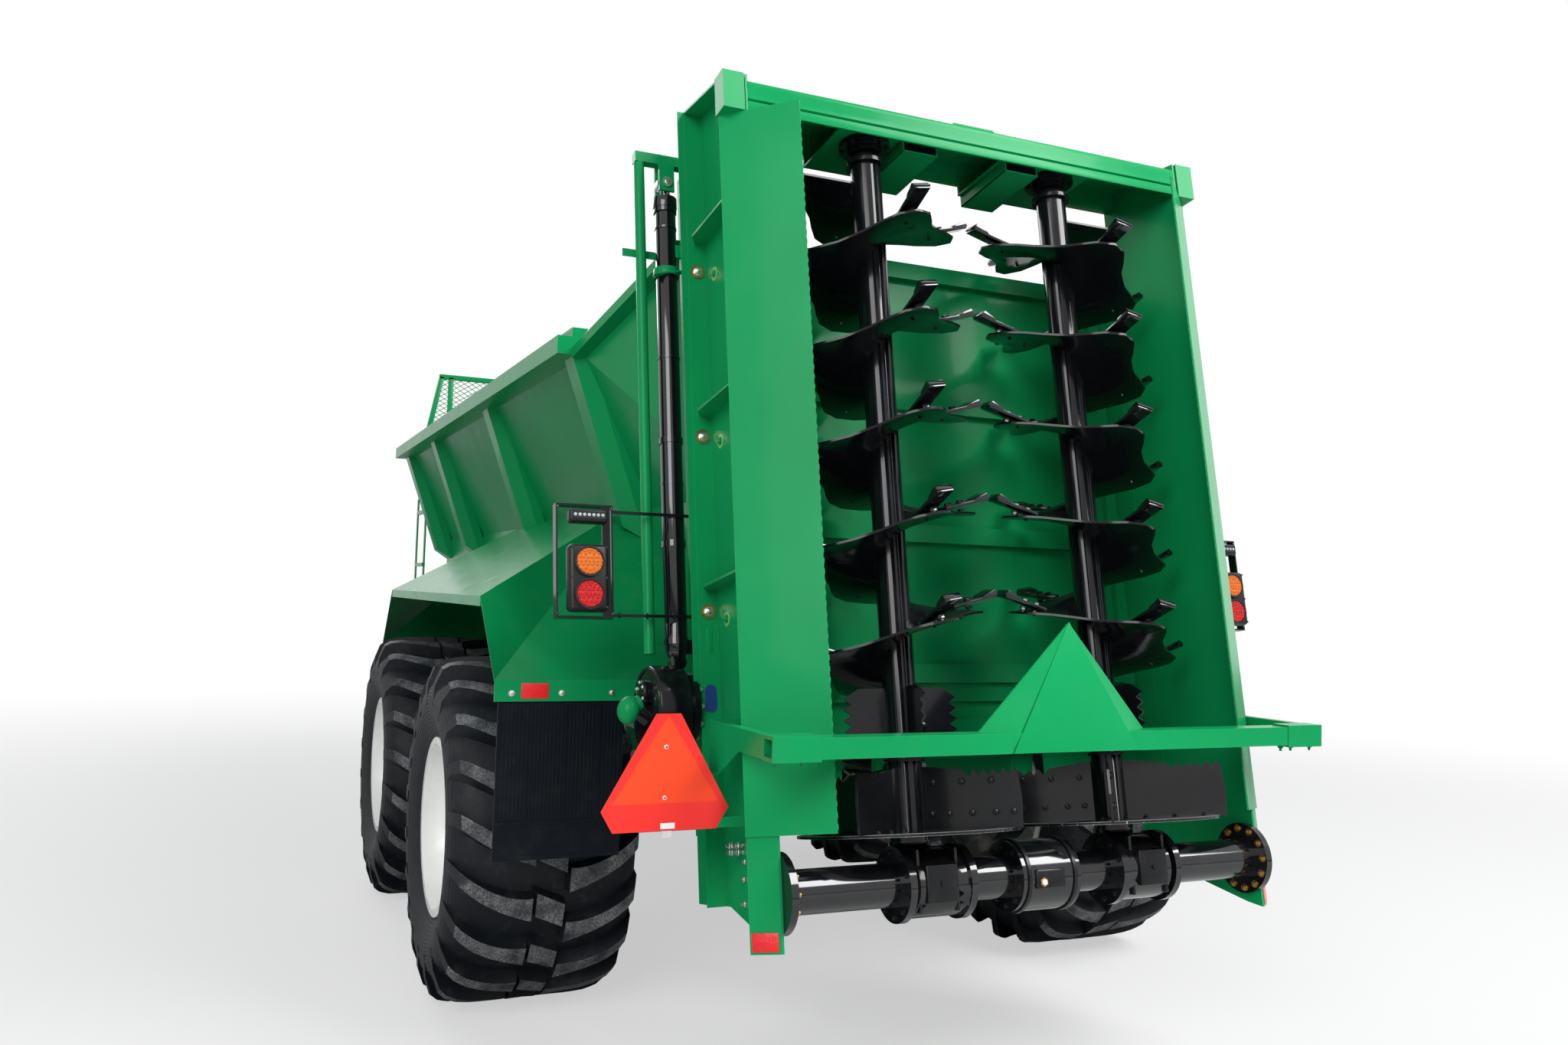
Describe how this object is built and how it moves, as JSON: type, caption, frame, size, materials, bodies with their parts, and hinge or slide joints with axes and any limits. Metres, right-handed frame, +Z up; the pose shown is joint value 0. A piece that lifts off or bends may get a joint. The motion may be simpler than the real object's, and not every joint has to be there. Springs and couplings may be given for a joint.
{
  "type": "manure spreader",
  "caption": "Towed tandem-axle manure spreader with a sloped hopper, sliding rear door, leaning housing with vertical scalloped beaters and discs, drawbar and parking jack.",
  "frame": {"origin": "on the ground, at the middle of the overall length and width", "axes": "+X forward to the drawbar, +Y to the left side, +Z up"},
  "size_m": [9.4, 3.46, 3.4897],
  "materials": {
    "green_paint": "gloss",
    "black_paint": "gloss",
    "white_paint": "gloss",
    "tyre": "matte",
    "rubber": "satin",
    "lamp_plastic": "gloss",
    "chrome": "polished",
    "zinc": "satin",
    "black_plastic": "matte",
    "orange_sheet": "satin"
  },
  "bodies": {
    "machine": {"chassis": "green_paint", "drawbar": "green_paint", "towing_ring": "black_paint", "axles": "black_paint", "springs": "black_paint", "hopper_floor": "green_paint", "hopper_side_left": "green_paint", "hopper_side_right": "green_paint", "headboard": "green_paint", "front_guard": "green_paint", "rear_frame": "green_paint", "housing_wall_left": "green_paint", "housing_wall_right": "green_paint", "deflector_panels": "green_paint", "top_beam": "green_paint", "rear_bar": "green_paint", "gearbox_beam": "black_paint", "door_cylinders": "black_paint", "fender_left": "green_paint", "fender_right": "green_paint", "mudflaps": "rubber", "lamp_frames": "black_paint", "lamps": "lamp_plastic", "warning_triangle": "orange_sheet", "floor_chain": "black_paint", "floor_drive": "black_paint", "ladder": "green_paint", "jack_tube": "black_paint", "rear_shaft": "black_plastic"},
    "wheel_rear_left": {"rim_rear_left": "white_paint", "tyre_rear_left": "tyre"},
    "wheel_rear_right": {"rim_rear_right": "white_paint", "tyre_rear_right": "tyre"},
    "wheel_front_left": {"rim_front_left": "white_paint", "tyre_front_left": "tyre"},
    "wheel_front_right": {"rim_front_right": "white_paint", "tyre_front_right": "tyre"},
    "beater_l": {"beater_left": "black_paint", "flight_left": "black_paint", "blades_left": "black_paint"},
    "beater_r": {"beater_right": "black_paint", "flight_right": "black_paint", "blades_right": "black_paint"},
    "sliding_door": {"door": "green_paint", "door_rods": "chrome"},
    "jack": {"jack_leg": "zinc"},
    "drive_line": {"line_shaft": "black_paint"}
  },
  "joints": [
    {"name": "wheel_spin_rear_left", "type": "hinge", "parent": "machine", "child": "wheel_rear_left", "pos_m": [-2.69619, 1.365, 0.682], "axis": [0, 1, 0], "continuous": true},
    {"name": "wheel_spin_rear_right", "type": "hinge", "parent": "machine", "child": "wheel_rear_right", "pos_m": [-2.69619, -1.365, 0.682], "axis": [0, 1, 0], "continuous": true},
    {"name": "wheel_spin_front_left", "type": "hinge", "parent": "machine", "child": "wheel_front_left", "pos_m": [-0.81619, 1.365, 0.682], "axis": [0, 1, 0], "continuous": true},
    {"name": "wheel_spin_front_right", "type": "hinge", "parent": "machine", "child": "wheel_front_right", "pos_m": [-0.81619, -1.365, 0.682], "axis": [0, 1, 0], "continuous": true},
    {"name": "beater_spin_left", "type": "hinge", "parent": "machine", "child": "beater_l", "pos_m": [-4.15358, 0.42, 1.88957], "axis": [0.1788, 0, 0.9839], "continuous": true},
    {"name": "beater_spin_right", "type": "hinge", "parent": "machine", "child": "beater_r", "pos_m": [-4.15358, -0.42, 1.88957], "axis": [0.1788, 0, 0.9839], "continuous": true},
    {"name": "door_lift", "type": "slide", "parent": "machine", "child": "sliding_door", "axis": [0.1788, 0, 0.9839], "range_m": [0, 1.4]},
    {"name": "jack_lift", "type": "slide", "parent": "machine", "child": "jack", "axis": [0, 0, 1], "range_m": [0, 0.3]},
    {"name": "drive_line_spin", "type": "hinge", "parent": "machine", "child": "drive_line", "pos_m": [-0.46619, 0, 0.965], "axis": [1, 0, 0], "continuous": true}
  ],
  "couplings": [
    {"joint": "beater_spin_right", "follows": "beater_spin_left", "ratio": -1},
    {"joint": "drive_line_spin", "follows": "beater_spin_left", "ratio": 2.4}
  ]
}
